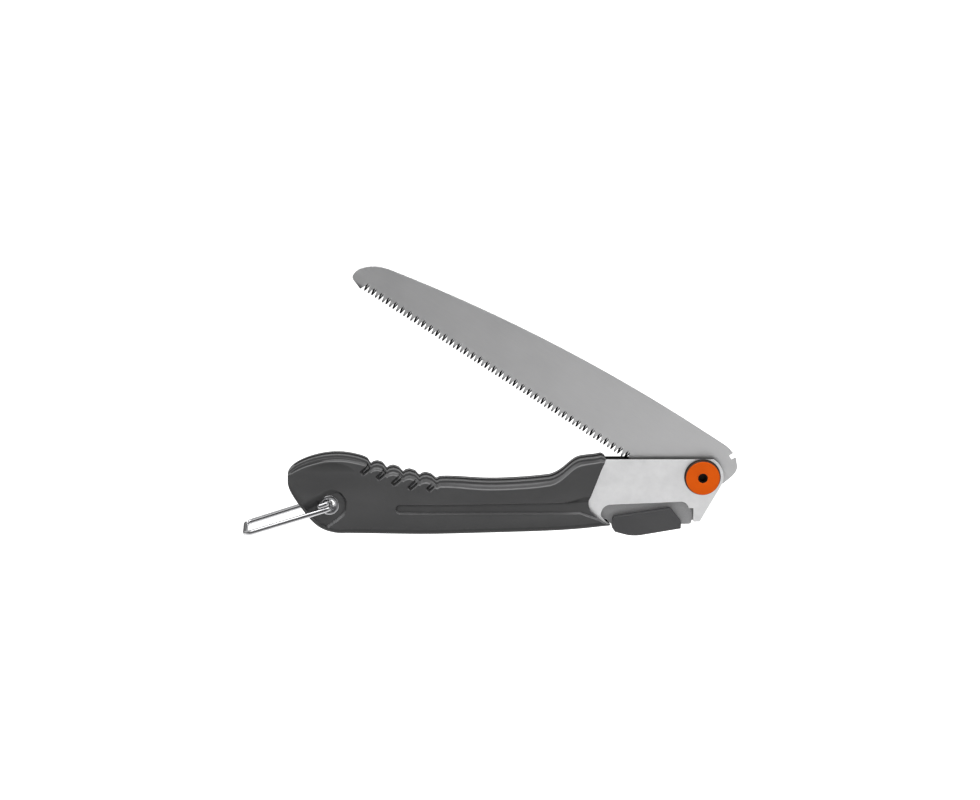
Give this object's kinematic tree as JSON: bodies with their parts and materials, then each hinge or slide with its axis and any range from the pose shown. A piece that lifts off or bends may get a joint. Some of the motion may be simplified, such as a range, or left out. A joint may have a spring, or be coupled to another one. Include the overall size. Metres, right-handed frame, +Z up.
{
  "type": "folding pruning saw",
  "caption": "Folding pruning saw with a steel two-plate head, moulded handle, pressed thumb lock, tension knob and wire hanging loop.",
  "frame": {"origin": "on the blade pivot's axis, in the saw's middle plane", "axes": "+X from the handle to the head, +Y from the knob side to the nut side, +Z up towards the finger grips"},
  "size_m": [0.2776, 0.0272, 0.1525],
  "materials": {
    "blade_steel": "satin, lightly ground along the length",
    "plate_steel": "bright satin, rounded edges",
    "plain_steel": "zinc plated",
    "dark_screw": "black oxide",
    "orange_plastic": "satin moulded",
    "black_washer": "smooth",
    "washer_bronze": "plain",
    "lever_metal": "fine cast, grey",
    "button_plastic": "fine moulded grain",
    "spring_steel": "drawn wire",
    "handle_plastic": "fine moulded grain",
    "chrome_plate": "bright"
  },
  "bodies": {
    "handle": {"handle_shell_near": "handle_plastic", "handle_shell_far": "handle_plastic", "side_plate_near": "plate_steel", "side_plate_far": "plate_steel", "spacer_bar": "plain_steel", "frame_rivets": "plain_steel", "shell_screws": "dark_screw", "pivot_bolt": "dark_screw", "tension_knob": "orange_plastic", "knob_washer": "black_washer", "thrust_washer_near": "washer_bronze", "thrust_washer_far": "washer_bronze", "spring_washer": "plain_steel", "pivot_nut": "plain_steel", "lock_spring": "spring_steel", "hang_eyelet": "chrome_plate"},
    "blade": {"saw_blade": "blade_steel"},
    "lock": {"lock_lever": "lever_metal", "lock_button": "button_plastic"},
    "loop": {"hang_loop": "chrome_plate"}
  },
  "joints": [
    {"name": "blade_fold", "type": "hinge", "parent": "handle", "child": "blade", "pos_m": [0, 0, 0], "axis": [0, 1, 0], "range_deg": [-31, 142]},
    {"name": "lock_release", "type": "hinge", "parent": "handle", "child": "lock", "pos_m": [-0.0319, 0, -0.0102], "axis": [0, -1, 0], "range_deg": [0, 6.6], "stiffness_Nm_per_rad": 0.6, "springref_deg": 14.32, "deforming": ["lock_spring"]},
    {"name": "loop_swing", "type": "hinge", "parent": "handle", "child": "loop", "pos_m": [-0.2092, 0, -0.0154], "axis": [0, -1, 0], "range_deg": [-147, 137]}
  ]
}
